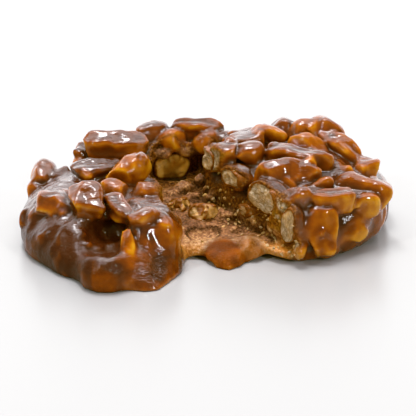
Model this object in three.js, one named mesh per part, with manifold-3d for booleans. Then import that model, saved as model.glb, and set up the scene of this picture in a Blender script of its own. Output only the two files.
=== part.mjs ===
// A bitten pecan praline: a patty of chewy caramel packed with pecan pieces, with a bite out of
// its front that leaves a thin caramel floor and shows the broken nuts in its walls.
// Millimetres, +Z up. The origin is on the table under the middle of the patty, with +X to the
// right and +Y to the back, seen from the bitten side.
import * as THREE from "three";
import { mergeVertices } from "three/addons/utils/BufferGeometryUtils.js";
import Module from "manifold-3d";

const wasm = await Module();
wasm.setup();

// Driving dimensions
const patty = { width: 78, depth: 61, caramelHeight: 11.5 };
const bite = { floor: 2.6, floorRise: 0.1, mouth: -14, tall: 30, levels: 3, crag: 0.45, nutsProud: 0.96 };
const nutGap = 0.35; // air between a bitten pecan and the caramel pocket that holds it
const seamTolerance = 0.34; // slivers where lumps meet are closed up to this
const scatterSeed = 7;

// Facets: the number of splits of an icosahedron's edge
const facets = { lobe: 4, swell: 3, nut: 2, bit: 1, speck: 0 };

// Kinds of pecan piece with their sugar coat: length, width and thickness, how square they are
// (2 is an oval), how far they bend sideways and how deep the crease along their back is.
const kinds = {
  half: { size: [13, 8.5, 5], square: 2.6, bend: 0.1, crease: 0.3, facets: facets.nut },
  log: { size: [14, 6, 5.5], square: 2.7, bend: 0.25, crease: 0, facets: facets.nut },
  plump: { size: [10, 6, 5.5], square: 2.5, bend: 0.15, crease: 0, facets: facets.nut },
  block: { size: [10, 6, 5.5], square: 5, bend: 0, crease: 0.1, facets: facets.nut },
  chunk: { size: [8, 7, 6], square: 5, bend: 0.05, crease: 0.1, facets: facets.nut },
  tooth: { size: [10, 6.6, 5.5], square: 4, bend: 0, crease: 0.15, facets: facets.nut },
  slab: { size: [9, 7.5, 4], square: 5, bend: 0, crease: 0, facets: facets.nut },
  nub: { size: [8, 7, 6], square: 2.8, bend: 0.1, crease: 0.1, facets: facets.nut },
  wedge: { size: [15, 7.4, 7], square: 3.6, bend: 0.08, crease: 0.1, facets: facets.nut },
  sliver: { size: [9.5, 2.8, 2.6], square: 3, bend: 0.1, crease: 0, facets: facets.bit },
  curl: { size: [9, 4.2, 4], square: 2.3, bend: 1, crease: 0, facets: facets.nut },
  bit: { size: [6.5, 4.5, 4], square: 2.6, bend: 0.15, crease: 0, facets: facets.bit },
};

// The caramel itself: the left lobe with its foot, flare, wall and skirt, the bridge behind the bite,
// and the right lobe with its crest and front wall.
const lobes = [
  { at: [-20.5, 2.5, 3], size: [36, 44, 18.5], turn: 0, square: 2.3, facets: facets.lobe },
  { at: [-19.2, -16.8, 2.4], size: [13.8, 25.2, 11.6], turn: 0, square: 2.4, facets: facets.swell },
  { at: [-12, -16, -1], size: [14.4, 26.4, 15.4], turn: 0, square: 1.6, facets: facets.swell },
  { at: [-10.2, -12.4, 4.6], size: [9.6, 14, 14.6], turn: 0, square: 4, facets: facets.nut },
  { at: [-25, -12, 1.6], size: [13, 18.4, 9], turn: 0, square: 2.2, facets: facets.nut },
  { at: [-3, 19.5, 3], size: [46, 19, 22.5], turn: 0, square: 2.6, facets: facets.nut },
  { at: [22, 9.2, 5], size: [33, 38.6, 18.5], turn: -10, square: 2.4, facets: facets.lobe },
  { at: [16, 14.5, 6], size: [31, 27, 20], turn: 0, square: 2.6, facets: facets.swell },
  { at: [19.5, -5, 5], size: [15, 18, 13], turn: 0, square: 3, facets: facets.nut },
];

// The dish in the foot.
const lobeHollows = [
  { at: [-20.4, -19.4, 9.4], size: [10.2, 13, 9.4], turn: 0, square: 2.2, facets: facets.nut },
];

// Coated pecans that stand out of the caramel: kind, x, y, z of the middle, turn about Z, lean of
// the front end above level, roll about the length, and growth over the kind's size.
const coatedPecans = [
  // left lobe, from the back to the foot
  ["log", -19.6, 17, 14.8, 0, 0, 0, 1.05],
  ["bit", -25.8, 19, 12.4, 60, 20, 0, 0.9],
  ["plump", -34.6, 12.4, 9.6, 75, 32, 0, 0.9],
  ["bit", -36, 9, 7, 90, 0, 0, 0.8],
  ["half", -22.6, 9, 11.9, 20, 0, 0, 0.95],
  ["plump", -16, 4, 13.6, 33, 17, 0, 1.05],
  ["slab", -24.2, -10.5, 12.5, 90, 35, 0, 0.95],
  ["chunk", -30.4, -7, 9.6, 5, 0, 0, 1.1],
  ["plump", -35.6, -2, 5.4, 75, 8, 0, 0.85],
  ["bit", -18.9, -3, 11.6, -20, -8, 0, 1.1],
  ["log", -17.4, -11.6, 11.6, -62, -15, 0, 0.74],
  ["bit", -12.2, -4, 11.8, -15, 0, 0, 1],
  ["slab", -12, -9.5, 10.6, 20, 0, 0, 0.85],
  ["bit", -12.6, -15.8, 10.6, 35, 9, 0, 1.1],
  ["sliver", -15.4, -22.4, 6.8, 90, 55, 0, 0.95],
  ["bit", -22.4, -17.6, 3.8, 10, 0, 0, 0.9],
  ["plump", -29.6, -11.4, 5.8, 20, 0, 0, 0.9],
  ["plump", -26.4, -16.6, 4.4, 60, 60, 0, 0.85],
  ["bit", -15.5, -25.8, 1.6, 0, 0, 0, 0.75],
  // right lobe, from the back to the front wall
  ["curl", 12.6, 17, 17.4, 180, 0, 0, 1],
  ["bit", 16.8, 22, 17, 30, 0, 0, 1.15],
  ["bit", 20.3, 19, 17.5, 40, 20, 0, 0.95],
  ["plump", 23.7, 20, 17.5, 70, 10, 0, 0.8],
  ["plump", 26.8, 19, 17.2, -60, -30, 0, 0.85],
  ["plump", 21.3, 13, 15.8, -33, -12, 0, 0.95],
  ["log", 29.1, 13.8, 14.6, -35, -27, 0, 0.92],
  ["log", 19.3, 6, 15.6, -22, 0, 0, 1.05],
  ["log", 17, 0, 14.2, 10, 0, 0, 1.02],
  ["chunk", 33.6, 9, 12.2, 40, 0, 0, 0.8],
  ["wedge", 31, 0.6, 10.8, -17, -9, -20, 1.02],
  ["block", 25.3, -7.5, 11.4, 3, 0, 0, 1],
  ["chunk", 31.5, -4.4, 9.5, 30, 0, 0, 0.88],
  ["bit", 23.8, -2.4, 13.4, 10, 0, 0, 0.7],
  ["chunk", 17.6, -8.4, 12.3, 15, 0, 0, 0.94],
  ["tooth", 23.4, -11.2, 6.3, 90, 72, 0, 1.04],
  ["bit", 29.6, -6.8, 4.2, 30, 20, 0, 1.15],
  ["bit", 18.6, -14.2, 3.4, 75, 60, 0, 0.7],
  ["bit", 34.8, 1, 5.4, 80, 50, 0, 1.15],
  ["chunk", 4, 9.5, 14.8, 10, 0, 0, 0.95],
  ["bit", 9.1, 8.4, 15.8, 0, 0, 0, 1.1],
  ["slab", 8.4, 15, 16, 10, 0, 0, 0.9],
  ["plump", 8, 20.5, 14.6, 20, 0, 0, 0.95],
];

// Pecans on the bridge behind the bite, which left them whole.
const rimPecans = [
  ["plump", -11.8, 24, 15.2, 20, 0, 0, 0.85],
  ["bit", -6.8, 26.5, 13.6, -10, 0, 0, 0.95],
  ["bit", -7.5, 22.4, 14, -5, 0, 0, 1.1],
  ["log", -1.4, 25, 15.6, -5, 0, 0, 0.85],
  ["bit", 0.2, 21.8, 13.9, 41, 31, 0, 1],
];

// Pecans packed in by rule: over the bare top, and in two rings round the far side, where heights
// and angles (from +X towards +Y) place them on the caramel.
const topPecans = { tries: 150, reach: 0.92, spacing: 7, sunk: 0.2, grow: 0.95 };
const topKinds = ["bit", "plump", "bit", "slab"];
const rings = [
  { count: 9, from: 28, to: 160, z: 4.2, sunk: 2.4, kinds: ["plump", "bit", "chunk"], grow: 0.85 },
  { count: 9, from: 25, to: 165, z: 9.5, sunk: 1.4, kinds: ["bit", "plump"], grow: 0.95 },
];

// Plan of the bite at its floor, counterclockwise from the mouth's left.
const bitePlan = [
  [2, -32], [14, -32], [18, -15], [14.8, -10.2], [12.3, -6], [8, -2.5], [3.6, 5], [-0.2, 12],
  [2, 19.5], [0.5, 23.8], [-5, 22.2], [-10.5, 21.2], [-11.8, 15], [-10.8, 8], [-9.6, 0],
  [-8.8, -7], [-4.2, -14], [-4, -22],
];

// The floor that the bite left, its thick front drop and torn lumps, ledges under the far rim, and
// the arches and the pit in it.
const floorFilm = { at: [4, 3, 0], size: [40, 29, 9], turn: 0, square: 2.8, facets: facets.swell };
const floorLumps = [
  { at: [4.6, -10.6, -0.6], size: [10.2, 11.4, 8.2], turn: 15, square: 2.2, facets: facets.nut },
  { at: [8.6, -8.6, 0], size: [8, 8, 7.6], turn: 0, square: 2.4, facets: facets.nut },
  { at: [4.4, 2.6, 4], size: [5.4, 4.6, 3.8], turn: 20, square: 2.3, facets: facets.bit },
  { at: [-4.6, 15.4, 5.4], size: [4.2, 3.6, 3.4], turn: 10, square: 2.3, facets: facets.speck },
  { at: [-1.4, 17.2, 6], size: [4.6, 3.8, 3.6], turn: 40, square: 2.3, facets: facets.speck },
  { at: [0.4, 14, 5.8], size: [3.4, 3.4, 3], turn: 0, square: 2.3, facets: facets.speck },
  { at: [-6.8, 13.4, 5], size: [3.2, 2.6, 2.2], turn: 70, square: 2.3, facets: facets.speck },
  { at: [1.8, 9, 5.6], size: [3.8, 3, 3], turn: 20, square: 2.3, facets: facets.speck },
  { at: [-2.6, 11, 5], size: [3, 2.4, 1.8], turn: 0, square: 2.3, facets: facets.speck },
  { at: [9.8, 0, 4.6], size: [3, 3, 3.4], turn: 0, square: 2.3, facets: facets.speck },
  { at: [5.6, -4, 3.2], size: [3.4, 2.4, 2.2], turn: 30, square: 2.3, facets: facets.speck },
  { at: [-3, 22.8, 12], size: [8.6, 4.4, 2.8], turn: 5, square: 2.3, facets: facets.bit },
  { at: [-9.8, 21, 11.8], size: [4, 4, 2.4], turn: 0, square: 2.3, facets: facets.speck },
];
const floorHollows = [
  { at: [-1.2, -13.8, 0], size: [6.5, 8, 2], turn: 0, square: 2.2, facets: facets.bit },
  { at: [13, -11.8, 0], size: [8, 8, 2], turn: 20, square: 2.2, facets: facets.bit },
  { at: [-0.6, -5.2, 4.4], size: [7.4, 6.2, 4.4], turn: 8, square: 2.6, facets: facets.bit },
];

// Pecans broken by the bite, with bare flesh: those in the walls end at the break.
const bittenPecans = [
  ["pecan_bitten_tip", "nub", 0.9, 11, 14, 105, 0, 0, 0.85],
  ["pecan_bitten_upper", "plump", 6.4, 2.8, 12.6, 118, -8, 0, 0.85],
  ["pecan_bitten_front", "nub", 12.6, -4.8, 11.3, -39, 0, 0, 1],
  ["pecan_bitten_middle", "bit", 9, -2, 7.2, -40, 12, 0, 0.8],
  ["pecan_bitten_low", "plump", 16.8, -12.2, 7.8, -56, 78, 0, 0.8],
  ["pecan_bitten_back", "nub", -7.5, 22.4, 8.2, 5, 0, 0, 1],
];
const loosePecans = [
  ["pecan_loose_left", "bit", -5.6, 6, 5, 25, 15, 0, 0.85],
  ["pecan_loose_middle", "bit", -0.6, 2, 5, -15, 10, 0, 1],
];

// A seeded stream of numbers from 0 to 1.
function seededNumbers(seed) {
  let state = seed;
  return () => {
    state = (state * 16807) % 2147483647;
    return state / 2147483647;
  };
}

// A closed geometry as a solid for joining and cutting.
function solidFrom(geometry) {
  geometry.deleteAttribute("normal");
  geometry.deleteAttribute("uv");
  const merged = mergeVertices(geometry, 1e-4);
  return new wasm.Manifold(
    new wasm.Mesh({
      numProp: 3,
      vertProperties: merged.getAttribute("position").array,
      triVerts: new Uint32Array(merged.index.array),
    }),
  );
}

// The largest body alone, with any sealed hollow in it filled.
function wholeOf(solid) {
  const bodies = solid.decompose();
  return bodies.reduce((best, body) => (body.volume() > best.volume() ? body : best));
}

// A ball squared off, drawn out to its size, bent sideways along its length and creased on top.
function lump({ size, square, bend = 0, crease = 0, facets: detail }, grow = 1, swell = 0) {
  const half = size.map((side) => (side * grow) / 2 + swell);
  const creaseWidth = 0.3;
  const geometry = new THREE.IcosahedronGeometry(1, detail);
  const position = geometry.getAttribute("position");
  const p = new THREE.Vector3();
  for (let i = 0; i < position.count; i++) {
    p.fromBufferAttribute(position, i);
    const sum = Math.abs(p.x) ** square + Math.abs(p.y) ** square + Math.abs(p.z) ** square;
    p.divideScalar(sum ** (1 / square));
    const dip = p.z > 0 ? crease * Math.exp(-((p.y / creaseWidth) ** 2)) : 0;
    position.setXYZ(i, p.x * half[0], (p.y + bend * p.x * p.x) * half[1], p.z * half[2] * (1 - dip));
  }
  return geometry;
}

// Turn about Z, then lean the length up, then roll about the length.
function place(geometry, [x, y, z], turn, lean = 0, roll = 0) {
  const [a, b, c] = [turn, -lean, roll].map(THREE.MathUtils.degToRad);
  const rotation = new THREE.Matrix4().makeRotationFromEuler(new THREE.Euler(c, b, a, "ZYX"));
  return geometry.applyMatrix4(rotation.setPosition(x, y, z));
}

const union = (solids) => wasm.Manifold.union(solids);
const swellSolid = (s) => solidFrom(place(lump(s), s.at, s.turn));

function pecanSolid([kind, x, y, z, turn, lean, roll, grow], swell = 0, detail = kinds[kind].facets) {
  return solidFrom(place(lump({ ...kinds[kind], facets: detail }, grow, swell), [x, y, z], turn, lean, roll));
}

// Height of the caramel over the table at a place in plan.
function caramelTop(x, y) {
  const heights = lobes.map(({ at, size, turn, square }) => {
    const p = new THREE.Vector2(x - at[0], y - at[1]);
    p.rotateAround(new THREE.Vector2(), THREE.MathUtils.degToRad(-turn));
    const room = 1 - Math.abs((2 * p.x) / size[0]) ** square - Math.abs((2 * p.y) / size[1]) ** square;
    return room > 0 ? at[2] + (size[2] / 2) * room ** (1 / square) : 0;
  });
  return Math.max(...heights);
}

// Pecans over the top stand on a sunflower spiral, wherever no other pecan is near.
function scatterTop(seen, draw) {
  const golden = Math.PI * (3 - Math.sqrt(5));
  const rows = [...seen];
  for (let i = 0; i < topPecans.tries; i++) {
    const r = topPecans.reach * Math.sqrt((i + 0.5) / topPecans.tries);
    const x = (patty.width / 2) * r * Math.cos(i * golden);
    const y = (patty.depth / 2) * r * Math.sin(i * golden);
    const top = caramelTop(x, y);
    const crowded = rows.some((row) => Math.hypot(row[1] - x, row[2] - y) < topPecans.spacing);
    if (top < patty.caramelHeight * 0.75 || crowded) continue;
    const kind = topKinds[rows.length % topKinds.length];
    rows.push([kind, x, y, top - topPecans.sunk, draw() * 180, draw() * 30 - 15, 0, topPecans.grow]);
  }
  return rows.slice(seen.length);
}

// Ring pecans stand half out of the caramel's side at their height.
function scatterRings(draw) {
  return rings.flatMap((ring) =>
    Array.from({ length: ring.count }, (_, i) => {
      const angle = ring.from + ((ring.to - ring.from) * (i + draw() * 0.5)) / (ring.count - 0.5);
      const way = THREE.MathUtils.degToRad(angle);
      let reach = patty.width / 2;
      while (caramelTop(reach * Math.cos(way), reach * Math.sin(way)) < ring.z) reach -= 0.2;
      reach -= ring.sunk;
      const at = [reach * Math.cos(way), reach * Math.sin(way), ring.z + draw() - 0.5];
      return [ring.kinds[i % ring.kinds.length], ...at, angle + 90, draw() * 80 - 40, 0, ring.grow];
    }),
  );
}

const floorHeight = (y) => bite.floor + bite.floorRise * (y - bite.mouth);

// The bite: its plan run up from the sloping floor, its walls craggy. Spread under 1 draws them in.
function biteSolid(spread = 1) {
  const draw = seededNumbers(scatterSeed);
  const curve = new THREE.CatmullRomCurve3(bitePlan.map(([x, y]) => new THREE.Vector3(x, y, 0)), true);
  const outline = curve.getPoints(bitePlan.length * 2).slice(0, -1);
  const middle = new THREE.Vector2(2, 4);
  const shape = new THREE.Shape(
    outline.map((p) => new THREE.Vector2(p.x, p.y).sub(middle).multiplyScalar(spread).add(middle)),
  );
  const geometry = mergeVertices(
    new THREE.ExtrudeGeometry(shape, { depth: bite.tall, steps: bite.levels, bevelEnabled: false })
      .deleteAttribute("normal")
      .deleteAttribute("uv"),
    1e-4,
  );
  const position = geometry.getAttribute("position");
  for (let i = 0; i < position.count; i++) {
    const [x, y, z] = [position.getX(i), position.getY(i), position.getZ(i)];
    const crag = () => (draw() - 0.5) * 2 * bite.crag;
    position.setXYZ(i, x + crag(), y + crag(), z * 0.8 + floorHeight(y));
  }
  return solidFrom(geometry);
}

// Everything above the table and below the bite's floor.
function underFloor() {
  const slab = new THREE.BoxGeometry(patty.width, patty.depth, bite.floor * 4);
  const position = slab.getAttribute("position");
  for (let i = 0; i < position.count; i++) {
    position.setZ(i, position.getZ(i) > 0 ? floorHeight(position.getY(i)) : 0);
  }
  return solidFrom(slab);
}

// Caramel with its coated pecans, less the bite, with the floor that the teeth left.
function pralineMass(cutters) {
  const draw = seededNumbers(scatterSeed);
  const packed = [...scatterTop([...coatedPecans, ...rimPecans], draw), ...scatterRings(draw)];
  const coated = coatedPecans.map((row) => pecanSolid(row));
  const behind = packed.map((row) => pecanSolid(row, 0, facets.bit));
  const sugar = union(lobes.map(swellSolid)).subtract(union(lobeHollows.map(swellSolid)));
  const whole = union([sugar, ...coated, ...behind]);
  const floor = swellSolid(floorFilm).intersect(underFloor());
  const left = union([floor, ...floorLumps.map(swellSolid), ...rimPecans.map((row) => pecanSolid(row))]);
  const bitten = whole.subtract(biteSolid()).add(left).subtract(union(floorHollows.map(swellSolid)));
  const pocketed = bitten.subtract(union(cutters));
  return wholeOf(pocketed.trimByPlane([0, 0, 1], 0).simplify(seamTolerance));
}

function meshOf(solid, name, material) {
  const { vertProperties, triVerts } = solid.getMesh();
  const geometry = new THREE.BufferGeometry()
    .setAttribute("position", new THREE.BufferAttribute(vertProperties, 3))
    .setIndex(new THREE.BufferAttribute(triVerts, 1));
  geometry.computeVertexNormals();
  const mesh = new THREE.Mesh(geometry, material);
  mesh.name = name;
  return mesh;
}

const caramel = new THREE.MeshStandardMaterial({ color: 0x6b3514, roughness: 0.2, metalness: 0 });
const pecanFlesh = new THREE.MeshStandardMaterial({ color: 0xb98d55, roughness: 0.75, metalness: 0 });

const praline = new THREE.Group();
const pockets = [...bittenPecans, ...loosePecans].map(([, ...row]) => pecanSolid(row, nutGap));
praline.add(meshOf(pralineMass(pockets), "praline_mass", caramel));

const proudBite = biteSolid(bite.nutsProud);
bittenPecans.forEach(([name, ...row]) => {
  praline.add(meshOf(wholeOf(pecanSolid(row).subtract(proudBite)), name, pecanFlesh));
});
loosePecans.forEach(([name, ...row]) => {
  praline.add(meshOf(pecanSolid(row), name, pecanFlesh));
});

export default praline;
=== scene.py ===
import bpy
import math
import numpy as np
import openvdb
from mathutils import Euler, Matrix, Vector


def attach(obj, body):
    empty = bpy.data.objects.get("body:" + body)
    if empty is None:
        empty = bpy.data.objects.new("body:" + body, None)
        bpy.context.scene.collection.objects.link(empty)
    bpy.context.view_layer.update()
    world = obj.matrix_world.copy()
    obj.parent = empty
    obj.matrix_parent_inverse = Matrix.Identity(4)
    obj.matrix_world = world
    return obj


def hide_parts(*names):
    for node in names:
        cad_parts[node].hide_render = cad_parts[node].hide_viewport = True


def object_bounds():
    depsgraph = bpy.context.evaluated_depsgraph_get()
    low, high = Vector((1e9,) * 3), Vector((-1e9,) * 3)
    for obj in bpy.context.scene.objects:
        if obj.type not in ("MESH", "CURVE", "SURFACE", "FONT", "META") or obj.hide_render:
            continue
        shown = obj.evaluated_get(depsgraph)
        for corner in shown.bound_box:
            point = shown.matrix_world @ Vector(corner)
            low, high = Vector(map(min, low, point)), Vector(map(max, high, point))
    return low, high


# A bitten pecan praline: caramel over pecans, grown from distance fields. Shapes are in millimetres.
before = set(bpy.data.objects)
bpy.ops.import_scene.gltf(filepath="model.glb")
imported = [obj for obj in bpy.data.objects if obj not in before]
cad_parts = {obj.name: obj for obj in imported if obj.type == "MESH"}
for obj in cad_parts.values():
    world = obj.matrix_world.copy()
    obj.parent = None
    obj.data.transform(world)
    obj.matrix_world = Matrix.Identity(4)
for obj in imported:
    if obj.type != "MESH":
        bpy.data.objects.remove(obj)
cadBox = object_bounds()
mm = 0.001

# tones: the plain view, with blue drawn out of the dark parts
darkBlues = ((0.01, 0.003), (0.03, 0.016), (0.07, 0.056), (0.15, 0.143))
view = bpy.context.scene.view_settings
view.view_transform = "Standard"
view.use_curve_mapping = True
for place, kept in darkBlues:
    view.curve_mapping.curves[2].points.new(place, kept)
view.curve_mapping.update()


def toLinear(code):
    parts = [int(code[i:i + 2], 16) / 255 for i in (1, 3, 5)]
    return tuple(c / 12.92 if c <= 0.04045 else ((c + 0.055) / 1.055) ** 2.4 for c in parts) + (1.0,)


def addNode(tree, kind, inputs=None, stops=(), **settings):
    node = tree.nodes.new(kind)
    for name, value in settings.items():
        setattr(node, name, value)
    for socket, value in (inputs or {}).items():
        if isinstance(value, bpy.types.Node):
            value = next(o for o in value.outputs if o.enabled)
        if isinstance(value, bpy.types.NodeSocket):
            tree.links.new(value, node.inputs[socket])
        else:
            node.inputs[socket].default_value = value
    for i, (place, code) in enumerate(stops):
        if i > 1:
            node.color_ramp.elements.new(place)
        node.color_ramp.elements[i].position = place
        node.color_ramp.elements[i].color = toLinear(code)
    return node


# camera: the photograph's view, from the bitten side and a little above
viewPoint = {"elevation": 21.0, "distance": 450.0, "lens": 188.0, "sensor": 36, "target": (0.4, 0.0, 6.9)}


def addCamera(settings):
    camera = bpy.data.cameras.new("camera")
    camera.lens = settings["lens"]
    camera.sensor_width = settings["sensor"]
    seat = bpy.data.objects.new("camera", camera)
    target = Vector(settings["target"]) * mm
    tilt = math.radians(settings["elevation"])
    seat.location = target + settings["distance"] * mm * Vector((0, -math.cos(tilt), math.sin(tilt)))
    seat.rotation_euler = (target - seat.location).to_track_quat("-Z", "Y").to_euler()
    bpy.context.collection.objects.link(seat)
    bpy.context.scene.camera = seat


addCamera(viewPoint)
print("camera:", viewPoint["distance"], "mm away,", viewPoint["elevation"], "degrees up")


# distance fields: negative inside, sampled on a grid and skinned with quads
class FieldGrid:
    def __init__(self, low, high, cell):
        self.low, self.cell = np.array(low, float), cell
        self.counts = np.ceil((np.array(high) - self.low) / cell).astype(int) + 1
        axes = [self.low[a] + cell * np.arange(self.counts[a]) for a in range(3)]
        self.at = [c.astype(np.float32) for c in np.meshgrid(*axes, indexing="ij")]

    def near(self, centre, reach):
        first = np.maximum(((centre - reach - self.low) / self.cell).astype(int), 0)
        last = np.minimum(((centre + reach - self.low) / self.cell).astype(int) + 2, self.counts)
        return tuple(slice(a, b) for a, b in zip(first, last))

    def sample(self, field, points):
        place = (points - self.low) / self.cell
        first = np.clip(np.floor(place).astype(int), 0, self.counts - 2)
        part = place - first
        total = np.zeros(len(points))
        for corner in np.ndindex(2, 2, 2):
            weight = np.prod([part[:, a] if c else 1 - part[:, a] for a, c in enumerate(corner)], axis=0)
            spot = first + corner
            total += weight * field[spot[:, 0], spot[:, 1], spot[:, 2]]
        return total

    def keepLargest(self, field):
        # loose scraps go and sealed bubbles fill: spread from the deepest cell, then from the corner
        solid = field < 0
        body = spread(solid, np.unravel_index(np.argmin(field), field.shape))
        field = np.where(solid & ~body, 0.3 * self.cell, field)
        air = spread(field >= 0, (0, 0, 0))
        return np.where((field >= 0) & ~air, -0.3 * self.cell, field)

    def skin(self, field):
        volume = openvdb.FloatGrid(5.0)
        volume.copyFromArray(np.ascontiguousarray(field, np.float32))
        points, quads = volume.convertToQuads(isovalue=0.0)
        return points * self.cell + self.low, quads.astype(int)


def spread(mask, start):
    reached = np.zeros_like(mask)
    reached[start] = True
    count = 0
    while reached.sum() != count:
        count = reached.sum()
        for _ in range(8):
            grown = reached.copy()
            for axis in range(3):
                ahead = [slice(None)] * 3
                behind = [slice(None)] * 3
                ahead[axis], behind[axis] = slice(1, None), slice(None, -1)
                grown[tuple(ahead)] |= reached[tuple(behind)]
                grown[tuple(behind)] |= reached[tuple(ahead)]
            reached = grown & mask
    return reached


def smoothMin(a, b, width):
    reach = np.maximum(width - np.abs(a - b), 0) / width
    return np.minimum(a, b) - reach * reach * width / 4


def smoothMax(a, b, width):
    return -smoothMin(-a, -b, width)


def softNoise(at, size, seed):
    # smooth random bumps of one size, from -1 to 1
    place = [c / size + 31.7 * seed + 11.3 * a for a, c in enumerate(at)]
    first = [np.floor(c).astype(np.int64) for c in place]
    part = [c - f for c, f in zip(place, first)]
    part = [c * c * (3 - 2 * c) for c in part]
    total = 0
    for corner in np.ndindex(2, 2, 2):
        i, j, k = [(f + c) & 0xFFFF for f, c in zip(first, corner)]
        mixed = (i * 73856093) ^ (j * 19349663) ^ (k * 83492791)
        mixed = (mixed ^ (mixed >> 13)) * 1274126177 & 0xFFFFFF
        weight = np.prod([p if c else 1 - p for p, c in zip(part, corner)], axis=0)
        total = total + weight * (mixed / 0x7FFFFF - 1)
    return total


def lumpDistance(at, size, square, bend=0, crease=0, ribs=0):
    # a ball squared off, drawn out, bent sideways along its length and creased on top
    half = [s / 2 for s in size]
    u = at[0] / half[0]
    v = at[1] / half[1] - bend * np.minimum(u * u, 1.6)
    w = at[2] / half[2]
    w = np.where(w > 0, w / (1 - crease * np.exp(-(v / 0.3) ** 2)), w)
    if ribs:  # the lengthwise ridges of a pecan's back
        swell = 1 + ribs * np.cos(5 * np.arctan2(w, v) + 0.5 * u)
        v, w = v / swell, w / swell
    powers = [np.abs(c) ** (square - 1) * np.sign(c) for c in (u, v, w)]
    level = np.maximum(u * powers[0] + v * powers[1] + w * powers[2], 1e-6) ** (1 / square)
    slope = level ** (1 - square)
    rise = [slope * (powers[0] - powers[1] * 2 * bend * u) / half[0],
            slope * powers[1] / half[1], slope * powers[2] / half[2]]
    return (level - 1) / np.sqrt(rise[0] ** 2 + rise[1] ** 2 + rise[2] ** 2 + 1e-9)


def turned(at, centre, turn, lean=0, roll=0):
    # points seen from a lump's own axes
    spin = Euler([math.radians(a) for a in (roll, -lean, turn)], "XYZ").to_matrix()
    away = [c - o for c, o in zip(at, centre)]
    return [sum(away[r] * spin[r][axis] for r in range(3)) for axis in range(3)]


# the patty: caramel lobes and the pecans that stand out of them, as in the solids
patty = {
    "width": 78, "depth": 61, "caramelHeight": 11.5, "cell": 0.4, "seed": 7,
    "room": ((-41, -31.5, -1.0), (41, 32, 22)), "boxEdge": 0.5,  # the grid round it, and how its box is rounded
    "lobeFillet": 4.0, "hollowFillet": 2.0, "caveFillet": 1.0, "nutFillet": 0.5,
    "lobeSwell": 0.7, "bulge": 5.2, "run": 2.6, "runDraw": 0.45,  # swells over nuts, and runs down the sides
    "nutWarp": 0.55, "warpSize": 4.4, "nutWaver": 0.14, "nutRound": 0.3, "chop": 0.8, "chopEdge": 0.15,
    "ripple": 0.13, "sink": 0.35, "wallSugar": 1.0, "feel": 3,  # feel: how far off a gap is noticed
}

pecanKinds = {
    "half": {"size": (13, 8.5, 5), "square": 2.6, "bend": 0.1, "crease": 0.3, "ribs": 0.08},
    "log": {"size": (14, 6, 5.5), "square": 2.7, "bend": 0.25, "crease": 0, "ribs": 0.1},
    "plump": {"size": (10, 6, 5.5), "square": 2.5, "bend": 0.15, "crease": 0},
    "block": {"size": (10, 6, 5.5), "square": 5, "bend": 0, "crease": 0.1},
    "chunk": {"size": (8, 7, 6), "square": 5, "bend": 0.05, "crease": 0.1},
    "tooth": {"size": (10, 6.6, 5.5), "square": 4, "bend": 0, "crease": 0.15},
    "slab": {"size": (9, 7.5, 4), "square": 5, "bend": 0, "crease": 0},
    "nub": {"size": (8, 7, 6), "square": 2.8, "bend": 0.1, "crease": 0.1},
    "wedge": {"size": (15, 7.4, 7), "square": 3.6, "bend": 0.08, "crease": 0.1},
    "sliver": {"size": (9.5, 2.8, 2.6), "square": 3, "bend": 0.1, "crease": 0},
    "curl": {"size": (9, 4.2, 4), "square": 2.3, "bend": 1, "crease": 0},
    "bit": {"size": (6.5, 4.5, 4), "square": 2.6, "bend": 0.15, "crease": 0},
}

lobes = [  # middle, size, turn, squareness
    ((-20.5, 2.5, 3), (36, 44, 18.5), 0, 2.3),
    ((-19.2, -16.8, 2.4), (13.8, 25.2, 11.6), 0, 2.4),
    ((-12, -16, -1), (14.4, 26.4, 15.4), 0, 1.6),
    ((-10.2, -12.4, 4.6), (9.6, 14, 14.6), 0, 4),
    ((-25, -12, 1.6), (13, 18.4, 9), 0, 2.2),
    ((-3, 19.5, 3), (46, 19, 22.5), 0, 2.6),
    ((22, 9.2, 5), (33, 38.6, 18.5), -10, 2.4),
    ((16, 14.5, 6), (31, 27, 20), 0, 2.6),
    ((19.5, -5, 5), (15, 18, 13), 0, 3),
]

lobeHollow = ((-20.4, -19.4, 9.4), (10.2, 13, 9.4), 0, 2.2)  # under the front nuts of the left lobe
lobeCave = ((-18.8, -14, 7), (6.4, 5.4, 4.4), 0, 2.2)  # the deepest part of it

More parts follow.
